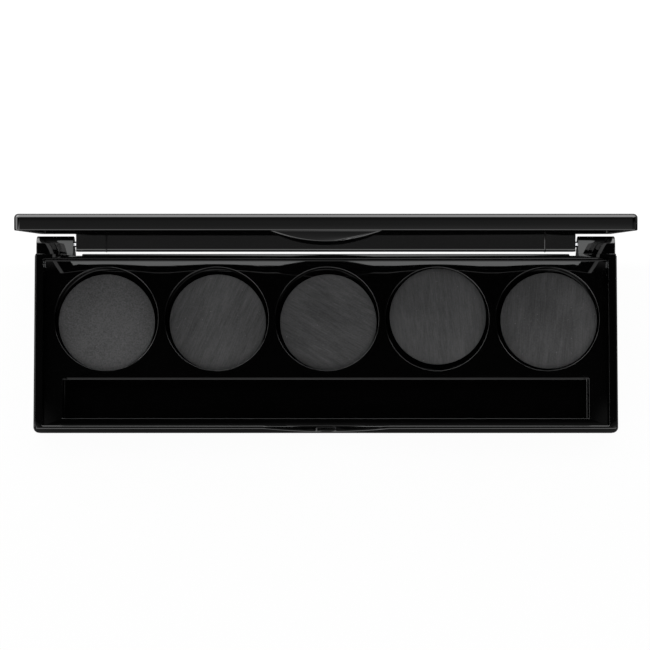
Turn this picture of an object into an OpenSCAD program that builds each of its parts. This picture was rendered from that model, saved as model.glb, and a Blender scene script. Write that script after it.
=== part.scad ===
// Five-pan refillable make-up palette: a moulded black case with a hinged lid that stands open.
// Origin at the centre of the case's underside, +X to the right, +Y to the hinge, +Z up, millimetres.

/* [Base shell] */
// Widest outside width of the base
base_w = 151.2; // [146:0.2:160]
// Outside depth of the base, front to back wall
base_d = 46; // [44:0.5:50]
// Height of the base rim above the table
base_h = 9.5; // [9:0.1:11]
// How far the front and side walls lean in between their widest line and the rim
flare = 0.9; // [0.3:0.1:0.9]
// Plan radius of the base's corners
corner_r = 1.5; // [1.2:0.1:2.5]
// Rounding along the bottom edge
bottom_r = 1; // [0.5:0.1:1.2]
// Thickness of the floor
floor_t = 1.2; // [1:0.1:1.6]
// Width of the side borders, widest line to recess
side_border = 2.8; // [2.2:0.1:3]
// Width of the front border
front_border = 1.75; // [1.6:0.05:2.2]
// Thickness of the back wall
back_wall = 1.3; // [1:0.1:1.4]

/* [Well tray] */
// How far the tray's face lies below the rim
tray_drop = 2.5; // [1.5:0.1:3]
// Thickness of the tray's face
tray_t = 1; // [0.8:0.1:1.2]
// Gap between the tray and the shell around it
tray_gap = 0.05; // [0.02:0.01:0.1]
// Number of pan wells
well_count = 5; // [5:1:5]
// Distance between neighbouring wells
well_pitch = 28.5; // [28.4:0.1:29]
// How far the row of wells sits to the right of the palette's middle
row_shift = 0.3; // [0:0.1:0.4]
// Bore of a well, for a 26 mm round pan
well_d = 26.8; // [26.6:0.1:27.2]
// Diameter of the round pad under a well, a boss on the base's floor that the tray drops over
pad_d = 27; // [26.6:0.1:27]
// Wider bore of a well's collar where it drops over the pad
collar_d = 27.6; // [27.6:0.1:27.8]
// Depth of a well below the tray's face, down to the pad
well_depth = 3.5; // [3.2:0.1:3.8]
// Height of the pan bore's lower end above the pad
bore_above = 1.1; // [1:0.1:1.2]
// Centre of the wells, back from the front of the base
well_back = 29.4; // [29:0.1:30]
// Wall of a well's collar and of the channel
cup_wall = 0.9; // [0.85:0.05:1]

/* [Applicator channel] */
// Length of the channel
slot_w = 135.8; // [130:0.2:136.6]
// Front-to-back width of the channel
slot_d = 10.3; // [9:0.1:10.5]
// Front edge of the channel, back from the front of the base
slot_back = 3.7; // [3.5:0.1:3.9]
// Depth of the channel below the tray's face
slot_depth = 5; // [4.5:0.1:5]

/* [Magnet sheets] */
// Diameter of a magnetic-sheet disc
disc_d = 25.1; // [24.5:0.1:25.2]
// Thickness of the magnetic sheet
disc_t = 0.8; // [0.6:0.1:0.8]
// Thickness of the adhesive film under it
glue_t = 0.2; // [0.1:0.05:0.2]
// How much smaller the film is than the disc
glue_trim = 0.6; // [0.2:0.1:1]

/* [Thumb notch] */
// Width of the notch in the front border
notch_w = 32.3; // [30:0.1:36]
// Radius of the notch's curved floor
notch_r = 36.5; // [34:0.5:40]
// Width of the small catch rib on the notch's floor
catch_w = 4.8; // [3:0.1:6]
// Height of the catch rib
catch_h = 0.6; // [0.3:0.1:0.7]

/* [Hinge] */
// Height of the hinge pins above the table
pin_z = 6.9; // [6.8:0.05:7]
// Pin centre behind the back wall
pin_behind = 2.7; // [2.6:0.05:2.8]
// Diameter of a hinge pin
pin_d = 1.5; // [1.2:0.1:1.6]
// Length of a hinge pin
pin_len = 16; // [12:0.5:16]
// Radius of the base's hinge ears around the pin
ear_r = 2.1; // [1.9:0.05:2.2]
// Inner face of an ear, from the middle of the palette
ear_in = 65.1; // [64.9:0.1:66]
// How far the lid's knuckle reaches from the pin, in front and below
knuckle_r = 1.9; // [1.8:0.05:1.95]
// Rounding of the knuckle's front corner
knuckle_edge = 0.7; // [0.6:0.05:0.9]
// Outer face of the knuckle, from the middle
knuckle_out = 64.5; // [63:0.1:64.6]
// Inner end of a knuckle boss, from the middle
boss_in = 56.6; // [54:0.2:58]
// Radial clearance of the lid's bore on the pin
pin_play = 0.05; // [0.03:0.01:0.08]

/* [Lid] */
// Outside width of the lid
lid_w = 148.4; // [144:0.2:158]
// Overall height of the lid
lid_h = 4; // [3.6:0.1:4.5]
// Gap between the closed lid and the base rim
lid_gap = 0.1; // [0.1:0.05:0.2]
// Thickness of the lid's panel
lid_panel = 1.4; // [1.2:0.1:1.6]
// Thickness of the lid's walls
lid_wall = 1.2; // [1:0.1:1.4]
// Rounding along the lid's top edge
lid_edge_r = 1; // [0.6:0.1:1.2]
// How far the lid reaches behind the pin
lid_behind = 2.4; // [2.2:0.05:2.5]
// Angle the lid stands open
lid_open = 85; // [0:0.5:105]

/* [Lid tab] */
// Width of the lift tab where it leaves the lid's wall
tab_w = 26.8; // [20:0.2:28]
// How far the tab hangs below the lid
tab_drop = 2.6; // [2:0.1:2.8]
// Thickness of the tab
tab_t = 0.75; // [0.6:0.05:0.75]
// How far the tab's face lies behind the lid's front
tab_set = 0.25; // [0.2:0.05:0.3]

/* [Mirror] */
// Width of the mirror
mirror_w = 140; // [130:1:144]
// Height of the mirror
mirror_d = 41.6; // [38:0.2:43]
// Thickness of the glass
mirror_t = 1; // [0.8:0.1:1.2]
// Thickness of the tape behind it
tape_t = 0.15; // [0.1:0.05:0.2]
// How much smaller the tape is than the mirror, each side
tape_inset = 3; // [1:0.5:6]
// Corner radius of the mirror
mirror_r = 1.2; // [0.5:0.1:3]

/* [Hidden] */
$fn = 64;

// How far each disc was stuck off the middle of its well, along X and Y
disc_shift = [[-0.1, -0.8], [0.2, -0.84], [0.38, -0.78], [0.3, 0.8], [0.54, -0.32]];

front_y = -base_d / 2;
back_y = base_d / 2;
pin_y = back_y + pin_behind;

recess_x = base_w / 2 - side_border;
recess_front = front_y + front_border;
recess_back = back_y - back_wall;

tray_top = base_h - tray_drop;
well_y = front_y + well_back;
pad_top = tray_top - well_depth;
slot_front = front_y + slot_back;
slot_floor = tray_top - slot_depth;

ear_out = base_w / 2 - flare;
ear_top = pin_z + ear_r;
relief_in = 62.8;
relief_d = 0.45;
boss_rise = 0.15;

lid_bottom = base_h + lid_gap;
lid_top = lid_bottom + lid_h;
lid_front = front_y + flare;
lid_back = pin_y + lid_behind;
lid_inside = lid_top - lid_panel;

plastic = [0.02, 0.02, 0.022];
steel = [0.62, 0.62, 0.64];
sheet_grey = [0.06, 0.06, 0.065];
film = [0.75, 0.74, 0.7];
silver = [0.85, 0.87, 0.88];
overlap = 0.5;

// A rectangle with round corners, made only of squares and circles
module rounded_rect(w, d, r) {
    square([w - 2 * r, d], center = true);
    square([w, d - 2 * r], center = true);
    for (x = [-1, 1], y = [-1, 1])
        translate([x * (w / 2 - r), y * (d / 2 - r)]) circle(r);
}

// A block whose outer edge follows the child profile, which runs out from the corner centres
module profiled_block(w, d, r, low, high) {
    hx = w / 2 - r;
    hy = d / 2 - r;
    translate([-hx, -hy, low]) cube([2 * hx, 2 * hy, high - low]);
    for (quarter = [0:3]) {
        across = quarter % 2 == 0 ? hx : hy;
        along = quarter % 2 == 0 ? hy : hx;
        rotate([0, 0, 90 * quarter]) translate([across, along, 0]) {
            rotate_extrude(angle = 90) children();
            rotate([90, 0, 0]) linear_extrude(2 * along) children();
        }
    }
}

// The base wall's outside: round at the table, upright, then leaning in to the rim
module base_profile() {
    lean_from = base_h / 2;
    polygon([
        [0, 0], [corner_r - bottom_r, 0], [corner_r, bottom_r], [corner_r, lean_from],
        [corner_r - flare, base_h], [0, base_h]
    ]);
    intersection() {
        translate([corner_r - bottom_r, bottom_r]) circle(bottom_r);
        square([corner_r, base_h]);
    }
}

// The lid wall's outside: upright from the rim, with a round top edge
module lid_profile() {
    edge = corner_r - lid_edge_r;
    square([corner_r, lid_h - lid_edge_r]);
    square([edge, lid_h]);
    intersection() {
        translate([edge, lid_h - lid_edge_r]) circle(lid_edge_r);
        square([corner_r, lid_h]);
    }
}

// An ear seen from the side, Y across and Z up
module ear_profile() {
    root_low = 2.4;
    translate([pin_y, pin_z]) circle(ear_r);
    polygon([
        [back_y - back_wall, root_low], [back_y, root_low], [pin_y, pin_z - ear_r],
        [pin_y, ear_top], [back_y - back_wall, ear_top]
    ]);
}

// Turns a profile drawn with Y across and Z up into a bar along X, centred on the middle
module bar(length) {
    translate([-length / 2, 0, 0]) rotate([90, 0, 90]) linear_extrude(length) children();
}

module pin_bore(d) {
    translate([0, pin_y, pin_z]) rotate([0, 90, 0]) cylinder(h = 2 * base_w, d = d, center = true);
}

module thumb_notch() {
    sag = notch_r - sqrt(notch_r * notch_r - notch_w * notch_w / 4);
    translate([0, recess_front, base_h - sag + notch_r]) rotate([90, 0, 0])
        cylinder(h = 3 * front_border, r = notch_r, $fn = 128);
}

module base_shell() color(plastic) {
    ear_length = ear_out - ear_in;
    notch_floor = base_h - (notch_r - sqrt(notch_r * notch_r - notch_w * notch_w / 4));
    difference() {
        union() {
            intersection() {
                translate([0, corner_r, 0])
                    profiled_block(base_w, base_d + 2 * corner_r, corner_r, 0, base_h)
                        base_profile();
                translate([-base_w, -base_w + back_y, -1]) cube([2 * base_w, base_w, base_h + 2]);
            }
            for (side = [-1, 1])
                translate([side * (ear_in + ear_length / 2), 0, 0]) bar(ear_length) ear_profile();
        }
        translate([-recess_x, recess_front, floor_t])
            cube([2 * recess_x, recess_back - recess_front, base_h]);
        pin_bore(pin_d + 0.02);
        thumb_notch();
        for (side = [-1, 1])
            translate([side * (relief_in + ear_in) / 2, back_y, base_h / 2])
                cube([ear_in - relief_in, 2 * relief_d, 2 * base_h], center = true);
    }
    for (n = [1:well_count]) translate([well_x(n), well_y, floor_t - overlap])
        cylinder(h = pad_top - floor_t + overlap, d = pad_d);
    translate([-catch_w / 2, front_y + 0.55, notch_floor - overlap])
        cube([catch_w, 0.7, catch_h + overlap]);
}

// Centre of well number n, counted from the left
function well_x(n) = row_shift + (n - (well_count + 1) / 2) * well_pitch;

// Stands its children in the middle of every well
module at_wells()
    for (n = [1:well_count]) translate([well_x(n), well_y, 0]) children();

module well_tray() color(plastic) {
    tray_w = 2 * (recess_x - tray_gap);
    tray_d = recess_back - recess_front - 2 * tray_gap;
    difference() {
        union() {
            difference() {
                translate([-tray_w / 2, recess_front + tray_gap, floor_t])
                    cube([tray_w, tray_d, tray_top - floor_t]);
                translate([-tray_w / 2 + cup_wall, recess_front + tray_gap + cup_wall, floor_t - 1])
                    cube([tray_w - 2 * cup_wall, tray_d - 2 * cup_wall, tray_top - tray_t - floor_t + 1]);
            }
            at_wells() translate([0, 0, floor_t])
                cylinder(h = tray_top - tray_t / 2 - floor_t, d = collar_d + 2 * cup_wall);
            translate([-slot_w / 2 - cup_wall, slot_front - cup_wall, floor_t])
                cube([slot_w + 2 * cup_wall, slot_d + 2 * cup_wall, slot_depth]);
        }
        at_wells() cylinder(h = base_h, d = well_d);
        at_wells() cylinder(h = pad_top + bore_above, d = collar_d);
        translate([-slot_w / 2, slot_front, slot_floor]) cube([slot_w, slot_d, base_h]);
    }
}

module magnet_disc(n) color(sheet_grey)
    translate([well_x(n) + disc_shift[n - 1][0], well_y + disc_shift[n - 1][1], pad_top + glue_t])
        cylinder(h = disc_t, d = disc_d);

module glue_film(n) color(film)
    translate([well_x(n) + disc_shift[n - 1][0], well_y + disc_shift[n - 1][1], pad_top])
        cylinder(h = glue_t, d = disc_d - glue_trim);

// A pin, flush just inside the ear's outer face; side is -1 for the left and 1 for the right
module hinge_pin(side) color(steel)
    translate([side * (ear_out - 0.3 - pin_len / 2), pin_y, pin_z]) rotate([0, 90, 0])
        cylinder(h = pin_len, d = pin_d, center = true);

// Swings what is drawn for a closed lid up to where it stands open
module opened()
    translate([0, pin_y, pin_z]) rotate([-lid_open, 0, 0]) translate([0, -pin_y, -pin_z]) children();

// The knuckle seen from the side: a round front corner, and a square heel behind that stops the lid
module knuckle_profile(front) {
    low = pin_z - knuckle_r;
    translate([pin_y - front, low + knuckle_edge])
        square([front + lid_behind, lid_inside - low - knuckle_edge + overlap]);
    translate([pin_y - front + knuckle_edge, low])
        square([front + lid_behind - knuckle_edge, 2 * knuckle_edge]);
    translate([pin_y - front + knuckle_edge, low + knuckle_edge]) circle(knuckle_edge);
}

module lid_tab() {
    arc_r = (tab_w * tab_w / 4 + tab_drop * tab_drop) / (2 * tab_drop);
    translate([0, lid_front + tab_set, lid_bottom - tab_drop]) intersection() {
        translate([0, tab_t, arc_r]) rotate([90, 0, 0]) cylinder(h = tab_t, r = arc_r, $fn = 128);
        translate([-tab_w, -1, -1]) cube([2 * tab_w, lid_wall + 2, tab_drop + overlap + 1]);
    }
}

module lid_shell() color(plastic) opened() {
    lid_d = lid_back - lid_front;
    boss_len = knuckle_out - boss_in;
    difference() {
        union() {
            difference() {
                translate([0, (lid_front + lid_back) / 2, lid_bottom])
                    profiled_block(lid_w, lid_d, corner_r, 0, lid_h) lid_profile();
                translate([-lid_w / 2 + lid_wall, lid_front + lid_wall, lid_bottom - 1])
                    cube([lid_w - 2 * lid_wall, lid_d - 2 * lid_wall, lid_inside - lid_bottom + 1]);
            }
            bar(2 * boss_in) knuckle_profile(knuckle_r - boss_rise);
            for (side = [-1, 1])
                translate([side * (boss_in + boss_len / 2), 0, 0])
                    bar(boss_len) knuckle_profile(knuckle_r);
            lid_tab();
        }
        for (side = [-1, 1])
            translate([side * (ear_out - 0.3 - pin_len / 2), pin_y, pin_z]) rotate([0, 90, 0])
                cylinder(h = pin_len + 0.6, d = pin_d + 2 * pin_play, center = true);
    }
}

mirror_y = (lid_front + lid_wall + pin_y - knuckle_r) / 2;

module lid_mirror() color(silver) opened()
    translate([0, mirror_y, lid_inside - tape_t - mirror_t])
        linear_extrude(mirror_t) rounded_rect(mirror_w, mirror_d, mirror_r);

module mirror_tape() color(film) opened()
    translate([0, mirror_y, lid_inside - tape_t]) linear_extrude(tape_t)
        rounded_rect(mirror_w - 2 * tape_inset, mirror_d - 2 * tape_inset, mirror_r);

base_shell();
well_tray();
for (n = [1:well_count]) {
    magnet_disc(n);
    glue_film(n);
}
hinge_pin(-1);  // hinge_pin_left
hinge_pin(1);  // hinge_pin_right
lid_shell();
lid_mirror();
mirror_tape();
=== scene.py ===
"""An empty five-pan make-up palette in gloss black plastic, its mirrored lid open, seen from above."""

import math

import bpy
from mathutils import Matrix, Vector


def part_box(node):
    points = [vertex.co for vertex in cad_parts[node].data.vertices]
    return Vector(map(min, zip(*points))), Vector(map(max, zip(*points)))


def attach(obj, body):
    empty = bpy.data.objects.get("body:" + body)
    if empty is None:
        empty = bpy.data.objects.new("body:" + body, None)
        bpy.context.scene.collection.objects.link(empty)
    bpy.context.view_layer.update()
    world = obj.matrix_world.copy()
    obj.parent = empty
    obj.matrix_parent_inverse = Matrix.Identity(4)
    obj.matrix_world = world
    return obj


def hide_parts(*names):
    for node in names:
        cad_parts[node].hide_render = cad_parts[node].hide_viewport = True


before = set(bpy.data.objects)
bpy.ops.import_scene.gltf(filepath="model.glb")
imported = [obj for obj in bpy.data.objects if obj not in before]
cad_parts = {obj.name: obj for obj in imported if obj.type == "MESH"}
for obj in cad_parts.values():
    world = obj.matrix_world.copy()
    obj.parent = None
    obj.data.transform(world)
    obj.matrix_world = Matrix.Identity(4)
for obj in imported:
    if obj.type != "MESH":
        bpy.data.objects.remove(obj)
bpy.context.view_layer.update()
MM = 0.001


# ---- Camera ----------------------------------------------------------------------------------

CAMERA_PLACE = (-0.2 * MM, -31.9 * MM, 579 * MM)
CAMERA_TIP = 3.67
CAMERA_LENS = 122.9


def make_camera():
    """A long lens looking almost straight down, tipped a little towards the hinge."""
    data = bpy.data.cameras.new("camera")
    data.lens = CAMERA_LENS
    data.sensor_width = 36
    data.clip_start = 0.01
    data.clip_end = 20
    camera = bpy.data.objects.new("camera", data)
    camera.location = CAMERA_PLACE
    camera.rotation_euler = (math.radians(CAMERA_TIP), 0, 0)
    bpy.context.scene.collection.objects.link(camera)
    bpy.context.scene.camera = camera


# ---- Node helpers ----------------------------------------------------------------------------

class Nodes:
    """A material's node tree with its Principled shader, and short calls to add to it."""

    def __init__(self, name):
        self.material = bpy.data.materials.new(name)
        self.material.use_nodes = True
        self.tree = self.material.node_tree
        self.shader = self.tree.nodes["Principled BSDF"]
        self.space = self.add("ShaderNodeTexCoord").outputs["Object"]

    def add(self, kind, **settings):
        node = self.tree.nodes.new(kind)
        for key, value in settings.items():
            setattr(node, key, value)
        return node

    def link(self, source, target):
        self.tree.links.new(source, target)

    def stretch(self, scale, turn=0.0):
        """Object coordinates, turned about Z by an angle in degrees and then scaled."""
        turned = self.add("ShaderNodeVectorRotate", rotation_type="Z_AXIS")
        turned.inputs["Angle"].default_value = math.radians(turn)
        self.link(self.space, turned.inputs["Vector"])
        scaled = self.add("ShaderNodeMapping")
        scaled.inputs["Scale"].default_value = scale
        self.link(turned.outputs["Vector"], scaled.inputs["Vector"])
        return scaled.outputs["Vector"]

    def noise(self, vector, scale, detail=2.0, roughness=0.5):
        node = self.add("ShaderNodeTexNoise")
        node.inputs["Scale"].default_value = scale
        node.inputs["Detail"].default_value = detail
        node.inputs["Roughness"].default_value = roughness
        self.link(vector, node.inputs["Vector"])
        return node.outputs["Fac"]

    def ramp(self, value, stops):
        node = self.add("ShaderNodeValToRGB")
        while len(node.color_ramp.elements) < len(stops):
            node.color_ramp.elements.new(0.5)
        for element, (at, colour) in zip(node.color_ramp.elements, stops):
            element.position = at
            element.color = (*colour, 1) if len(colour) == 3 else colour
        self.link(value, node.inputs["Fac"])
        return node.outputs["Color"]

    def span(self, value, low, high, from_low=0.0, from_high=1.0):
        """Runs straight from low to high as the value runs from from_low to from_high."""
        node = self.add("ShaderNodeMapRange")
        limits = {"From Min": from_low, "From Max": from_high, "To Min": low, "To Max": high}
        for key, number in limits.items():
            node.inputs[key].default_value = number
        self.link(value, node.inputs["Value"])
        return node.outputs["Result"]

    def math(self, operation, *values):
        node = self.add("ShaderNodeMath", operation=operation)
        for socket, value in zip(node.inputs, values):
            self.feed(value, socket)
        return node.outputs[0]

    def mix(self, first, second, amount):
        """Blends two values or colours; either may be plain, and so may the amount."""
        node = self.add("ShaderNodeMix", data_type="RGBA")
        self.feed(amount, node.inputs[0])
        self.feed(first, node.inputs[6])
        self.feed(second, node.inputs[7])
        return node.outputs[2]

    def feed(self, source, target):
        """Links an output to a socket, or sets the socket to a plain value."""
        if isinstance(source, bpy.types.NodeSocket):
            self.link(source, target)
        else:
            target.default_value = source

    def bump(self, height, distance, under=None):
        """A bump of a height in metres, laid over another normal where one is given."""
        node = self.add("ShaderNodeBump")
        node.inputs["Distance"].default_value = distance
        node.inputs["Strength"].default_value = 1.0
        self.link(height, node.inputs["Height"])
        if under is not None:
            self.link(under, node.inputs["Normal"])
        return node.outputs["Normal"]

    def set(self, **values):
        """Sets the shader's own sockets; an underscore stands for a space in a socket's name."""
        for key, value in values.items():
            self.shader.inputs[key.replace("_", " ")].default_value = value


def grey(level):
    """A dark neutral, a touch bluish."""
    return (level, level, level * 1.02)


# ---- Sizes, in millimetres -------------------------------------------------------------------

# The row of wells, as the CAD model has it
WELL_PITCH = 28.5
WELL_Y = 6.4
ROW_SHIFT = 0.3
WELL_RADIUS = 13.4
RECESS_BACK = 21.7
# How deep the tray's face falls towards the back, and the Y from which it falls
BACK_SINK = 0.15
BACK_SINK_FROM = 13.5
# How deep, and how far out, the face sinks round each well
RING_SINK = 0.022
RING_SINK_WIDTH = 4
# How high the moulding waves stand on the case and on the tray
CASE_WAVE = 0.006
TRAY_WAVE = 0.004


# ---- Materials -------------------------------------------------------------------------------

BLACK_LEVEL = 0.0005
SHEET_SHADES = [(0.38, grey(0.011)), (0.5, grey(0.0205)), (0.62, grey(0.032))]
DUST_COLOUR = (0.12, 0.12, 0.12, 1)
DUST_STOPS = [(0.77, grey(0)), (0.8, grey(1))]
# Noise scales along and across a streak, and through the sheet
FINE_STREAKS = (4600, 260, 300)
BROAD_STREAKS = (1500, 110, 300)
CLOUDS = (90, 45, 90)


def gloss_black(name, wave, dished=False):
    """Piano-black moulded plastic: a smooth skin over slight moulding waves, with faint handling haze."""
    n = Nodes(name)
    n.set(Base_Color=(*grey(BLACK_LEVEL), 1), IOR=1.5)
    haze = n.noise(n.space, 60, 4, 0.6)
    n.link(n.span(haze, 0.015, 0.035, 0.3, 0.7), n.shader.inputs["Roughness"])
    waves = n.bump(n.noise(n.space, 38, 1), wave * MM)
    n.link(sunk_face(n, waves) if dished else waves, n.shader.inputs["Normal"])
    return n.material


def sunk_face(n, under):
    """A bump that lets the tray's face fall a little towards the back and round each well."""
    split = n.add("ShaderNodeSeparateXYZ")
    n.link(n.space, split.inputs["Vector"])
    x, y = split.outputs["X"], split.outputs["Y"]
    back = n.span(y, 0, 1, BACK_SINK_FROM * MM, RECESS_BACK * MM)
    drop = n.math("POWER", back, 2.0)
    row = n.math("SUBTRACT", x, ROW_SHIFT * MM)
    across = n.math("WRAP", row, WELL_PITCH * MM / 2, -WELL_PITCH * MM / 2)
    along = n.math("SUBTRACT", y, WELL_Y * MM)
    squares = n.math("ADD", n.math("MULTIPLY", across, across), n.math("MULTIPLY", along, along))
    radius = n.math("SQRT", squares)
    near_well = n.span(radius, 1, 0, WELL_RADIUS * MM, (WELL_RADIUS + RING_SINK_WIDTH) * MM)
    ring = n.math("POWER", near_well, 2.0)
    sunk = n.bump(n.math("MULTIPLY", drop, -1.0), BACK_SINK * MM, under=under)
    return n.bump(n.math("MULTIPLY", ring, -1.0), RING_SINK * MM, under=sunk)


def magnet_sheet(number, turn, streak, speckle):
    """Flexible magnet sheet: a dull grey skin with roller streaks, fine grain and a little dust."""
    n = Nodes(f"magnet_sheet_{number}")
    n.set(Specular_IOR_Level=0.16)
    streaks = n.noise(n.stretch(FINE_STREAKS, turn), 1, 3, 0.6)
    broad = n.noise(n.stretch(BROAD_STREAKS, turn + 5), 1, 2)
    cloud = n.noise(n.stretch(CLOUDS, turn + 8), 1, 2)
    grain = n.noise(n.space, 2600, 2, 0.75)
    lines = n.mix(broad, streaks, 0.65)
    level = n.mix(n.mix(cloud, lines, streak), grain, speckle)
    colour = n.ramp(level, SHEET_SHADES)
    dust = n.ramp(n.noise(n.space, 2900, 1), DUST_STOPS)
    n.link(n.mix(colour, DUST_COLOUR, dust), n.shader.inputs["Base Color"])
    n.link(n.span(level, 0.38, 0.58), n.shader.inputs["Roughness"])
    fine = n.bump(grain, 0.006 * MM)
    n.link(n.bump(lines, 0.008 * MM, under=fine), n.shader.inputs["Normal"])
    return n.material


def plain(name, colour, roughness, metallic=0.0):
    """One colour, with a roughness that varies finely by a fifth either way."""
    n = Nodes(name)
    n.set(Base_Color=(*colour, 1), Metallic=metallic)
    pattern = n.noise(n.space, 800, 3)
    n.link(n.span(pattern, roughness * 0.8, roughness * 1.2), n.shader.inputs["Roughness"])
    return n.material


# ---- Moulded edges ---------------------------------------------------------------------------

# Width of the softened edges in millimetres, node by node
EDGE_WIDTHS = {"base_shell": 0.22, "well_tray": 0.1, "lid_shell": 0.26, "lid_mirror": 0.15,
               "hinge_pin_left": 0.12, "hinge_pin_right": 0.12}
EDGE_SEGMENTS = 3
# An edge that turns by less than this, in degrees, stays as it is
SMALLEST_TURN = 30
MERGE_WITHIN = 0.002


def soften(node, width):
    """Rounds a CAD solid's edges as a mould does, and keeps its flat faces flat."""
    merge = node.modifiers.new("merge", "WELD")
    merge.merge_threshold = MERGE_WITHIN * MM
    bevel = node.modifiers.new("edges", "BEVEL")
    bevel.width = width * MM
    bevel.segments = EDGE_SEGMENTS
    bevel.limit_method = "ANGLE"
    bevel.angle_limit = math.radians(SMALLEST_TURN)
    bevel.miter_outer = "MITER_ARC"
    bevel.use_clamp_overlap = False
    shade = node.modifiers.new("shade", "WEIGHTED_NORMAL")
    shade.weight = 100


# ---- Floor and light -------------------------------------------------------------------------

# Half the floor's side, in metres
FLOOR_REACH = 3.0
FLOOR_GREY = 0.012
FLOOR_GLOW = 0.95
# The floor's glow in reflections before and behind the palette, and the Y between which it changes, in metres
FLOOR_MIRRORED = (0.01, 1.6)
FLOOR_MIRRORED_Y = (0.02, 0.25)


def make_floor():
    """A floor that looks white to the camera, but whose front part stays dark in reflections."""
    mesh = bpy.data.meshes.new("floor")
    corners = [(x * FLOOR_REACH, y * FLOOR_REACH, 0) for x, y in ((-1, -1), (1, -1), (1, 1), (-1, 1))]
    mesh.from_pydata(corners, [], [(0, 1, 2, 3)])
    floor = bpy.data.objects.new("floor", mesh)
    n = Nodes("pale_floor")
    n.set(Base_Color=(FLOOR_GREY, FLOOR_GREY, FLOOR_GREY, 1), Roughness=0.9)
    n.set(Specular_IOR_Level=0.0, Emission_Color=(1, 1, 1, 1))
    split = n.add("ShaderNodeSeparateXYZ")
    n.link(n.space, split.inputs["Vector"])
    mirrored = n.span(split.outputs["Y"], *FLOOR_MIRRORED, *FLOOR_MIRRORED_Y)
    seen = n.add("ShaderNodeLightPath").outputs["Is Camera Ray"]
    n.link(n.math("ADD", mirrored, n.math("MULTIPLY", seen, FLOOR_GLOW)), n.shader.inputs["Emission Strength"])
    mesh.materials.append(n.material)
    bpy.context.scene.collection.objects.link(floor)


# How far above the horizon, as a sine, the light begins
HORIZON = 0.02
# A light is the leans where it starts and is full, and its brightness.
# A fade is the leans where it starts and ends, and the share of the light that is left.
BACK_LIGHT = (0.14, 0.5, 6.0)
BACK_FADE = (2.0, 8.0, 0.4)
FRONT_LIGHT = (-0.07, -0.26, 2.6)
FRONT_FADE = (-1.0, -3.0, 0.1)
NEAR_FRONT_GLOWS = [(0.024, 0.006, 0.1), (-0.055, -0.068, 0.13)]
LEFT_LIGHT = (-0.8, -2.0, 4.0)
RIGHT_LIGHT = (1.5, 3.0, 0.12)
# The back and front lights end where a direction leans sideways this many times as much as it leans along Y
SIDEWAYS_END = (1.2, 3.0)


class Sky:
    """The studio around the palette: brightness by how far a direction leans from overhead."""

    def __init__(self):
        world = bpy.data.worlds.new("studio")
        bpy.context.scene.world = world
        world.use_nodes = True
        self.tree = world.node_tree
        self.background = self.tree.nodes["Background"]
        coords = self.tree.nodes.new("ShaderNodeTexCoord")
        split = self.tree.nodes.new("ShaderNodeSeparateXYZ")
        self.tree.links.new(coords.outputs["Generated"], split.inputs["Vector"])
        x, y, self.z = split.outputs
        up = self.math("MAXIMUM", self.z, HORIZON)
        self.lean_x = self.math("DIVIDE", x, up)
        self.lean_y = self.math("DIVIDE", y, up)

    def math(self, operation, *values):
        node = self.tree.nodes.new("ShaderNodeMath")
        node.operation = operation
        for socket, value in zip(node.inputs, values):
            if isinstance(value, bpy.types.NodeSocket):
                self.tree.links.new(value, socket)
            else:
                socket.default_value = value
        return node.outputs[0]

    def step(self, value, start, end, low, high):
        """Goes smoothly from low to high as the value goes from start to end."""
        node = self.tree.nodes.new("ShaderNodeMapRange")
        node.interpolation_type = "SMOOTHSTEP"
        for socket, number in zip(node.inputs[1:5], (start, end, low, high)):
            socket.default_value = number
        self.tree.links.new(value, node.inputs[0])
        return node.outputs[0]

    def light(self, value, start, full, level):
        """A light that starts at one lean and is full at another."""
        return self.step(value, start, full, 0, level)

    def fade(self, value, start, end, left_over):
        return self.step(value, start, end, 1, left_over)

    def finish(self, level):
        """Makes a brightness the world's colour."""
        self.tree.links.new(level, self.background.inputs["Color"])


def make_world():
    """Black overhead, a bright wall of light behind, a softer one in front, and low light at the left."""
    sky = Sky()
    sideways = sky.math("ABSOLUTE", sky.math("DIVIDE", sky.lean_x, sky.lean_y))
    ahead = sky.fade(sideways, *SIDEWAYS_END, 0)
    back = sky.math("MULTIPLY", sky.light(sky.lean_y, *BACK_LIGHT), sky.fade(sky.lean_y, *BACK_FADE))
    front = sky.math("MULTIPLY", sky.light(sky.lean_y, *FRONT_LIGHT), sky.fade(sky.lean_y, *FRONT_FADE))
    total = sky.math("MULTIPLY", back, ahead)
    glows = [sky.light(sky.lean_y, *glow) for glow in NEAR_FRONT_GLOWS]
    sides = [sky.light(sky.lean_x, *LEFT_LIGHT), sky.light(sky.lean_x, *RIGHT_LIGHT)]
    for part in (sky.math("ADD", *glows), sky.math("MULTIPLY", front, ahead), *sides):
        total = sky.math("ADD", total, part)
    above = sky.step(sky.z, -HORIZON, HORIZON, 0, 1)
    sky.finish(sky.math("MULTIPLY", total, above))


# ---- Magnet discs ----------------------------------------------------------------------------

# Each disc's streak direction in degrees, how strong its streaks are, and how strong its speckle is
DISC_SKINS = [(20, 0.2, 0.6), (22, 0.7, 0.25), (-62, 0.7, 0.25), (-8, 0.6, 0.2), (4, 0.6, 0.25)]
# Which way each disc's edge bends, in degrees from +X, and how far up in millimetres; less than 0 is down
DISC_BENDS = [(200, 0.04), (110, 0.05), (300, 0.04), (55, -0.5), (20, 0.06)]
DISC_BEND_POWER = 2.6
DISC_SEGMENTS = 160
DISC_RINGS = 14
DISC_EDGE = 0.1
DISC_EDGE_STEPS = 3
DISC_WOBBLE = 0.0016


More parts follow.
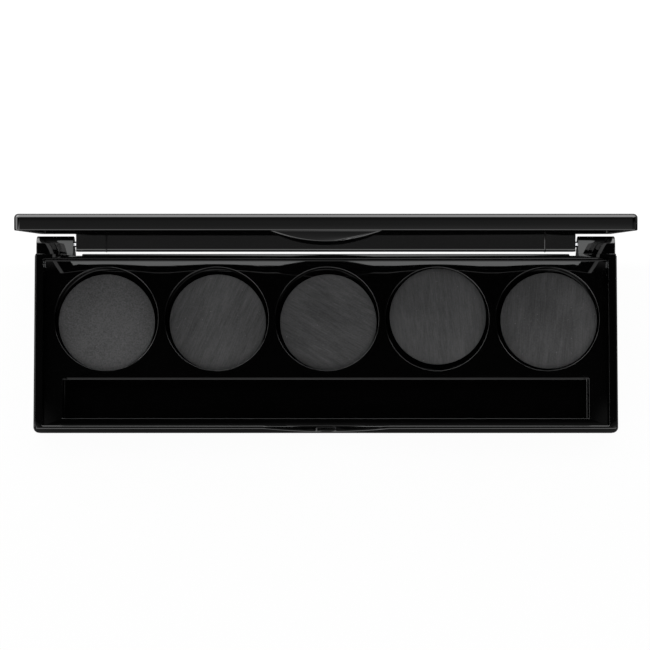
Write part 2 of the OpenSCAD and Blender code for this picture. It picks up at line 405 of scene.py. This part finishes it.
def disc_rings(radius, low, top):
    """The disc's section as radius and height: up the cut side, round the soft edge, in to the middle."""
    edge = DISC_EDGE * MM
    rings = [(radius - edge, low), (radius, low + edge / 2), (radius, top - edge)]
    for step in range(1, DISC_EDGE_STEPS + 1):
        turn = math.radians(90 * step / DISC_EDGE_STEPS)
        rings.append((radius - edge * (1 - math.cos(turn)), top - edge * (1 - math.sin(turn))))
    return rings + [((radius - edge) * (1 - k / DISC_RINGS), top) for k in range(1, DISC_RINGS)]


def cut_disc(number, bend_heading, bend):
    """A disc punched out of magnet sheet: not quite round, soft at its cut edge, bent on one side."""
    low, high = (Vector(corner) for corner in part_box(f"magnet_disc_{number}"))
    centre = (low + high) / 2
    radius, top = (high.x - low.x) / 2, high.z
    heading = math.radians(bend_heading)
    rings = disc_rings(radius, low.z, top)
    verts = []
    for out, height in rings:
        for k in range(DISC_SEGMENTS):
            angle = math.tau * k / DISC_SEGMENTS
            uneven = 1 + math.sin(2 * angle + number) * 0.6 + math.sin(5 * angle + 2 * number) * 0.4
            reach = out * (1 - DISC_WOBBLE * uneven)
            along = max(0.0, math.cos(angle - heading)) * out / radius
            rise = bend * MM * along ** DISC_BEND_POWER * (height - low.z) / (top - low.z)
            x, y = centre.x + reach * math.cos(angle), centre.y + reach * math.sin(angle)
            verts.append((x, y, height + rise))
    faces = []
    for ring in range(len(rings) - 1):
        for k in range(DISC_SEGMENTS):
            a = ring * DISC_SEGMENTS + k
            b = ring * DISC_SEGMENTS + (k + 1) % DISC_SEGMENTS
            faces.append((a, b, b + DISC_SEGMENTS, a + DISC_SEGMENTS))
    last = (len(rings) - 1) * DISC_SEGMENTS
    verts.append((centre.x, centre.y, top))
    middle = len(verts) - 1
    faces += [(last + k, last + (k + 1) % DISC_SEGMENTS, middle) for k in range(DISC_SEGMENTS)]
    faces.append(tuple(reversed(range(DISC_SEGMENTS))))
    mesh = bpy.data.meshes.new(f"disc_{number}")
    mesh.from_pydata(verts, [], faces)
    mesh.polygons.foreach_set("use_smooth", [len(face) < DISC_SEGMENTS for face in faces])
    disc = bpy.data.objects.new(f"punched_disc_{number}", mesh)
    bpy.context.scene.collection.objects.link(disc)
    mesh.materials.append(magnet_sheet(number, *DISC_SKINS[number - 1]))
    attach(disc, "base")
    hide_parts(f"magnet_disc_{number}")


make_camera()
make_floor()
make_world()

case_black = gloss_black("gloss_black", CASE_WAVE)
finishes = {"base_shell": case_black,
            "well_tray": gloss_black("tray_black", TRAY_WAVE, dished=True),
            "lid_shell": case_black,
            "lid_mirror": plain("mirror", (0.9, 0.92, 0.92), 0.02, 1.0),
            "mirror_tape": plain("tape", (0.5, 0.5, 0.48), 0.6),
            "hinge_pin_left": plain("steel", (0.6, 0.6, 0.62), 0.3, 1.0)}
finishes["hinge_pin_right"] = finishes["hinge_pin_left"]
for number, bend in enumerate(DISC_BENDS, 1):
    cut_disc(number, *bend)
    finishes[f"glue_film_{number}"] = finishes["mirror_tape"]
for name, finish in finishes.items():
    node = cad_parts[name]
    node.data.materials.clear()
    node.data.materials.append(finish)

for name, width in EDGE_WIDTHS.items():
    soften(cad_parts[name], width)

bpy.context.scene.view_settings.view_transform = "Standard"
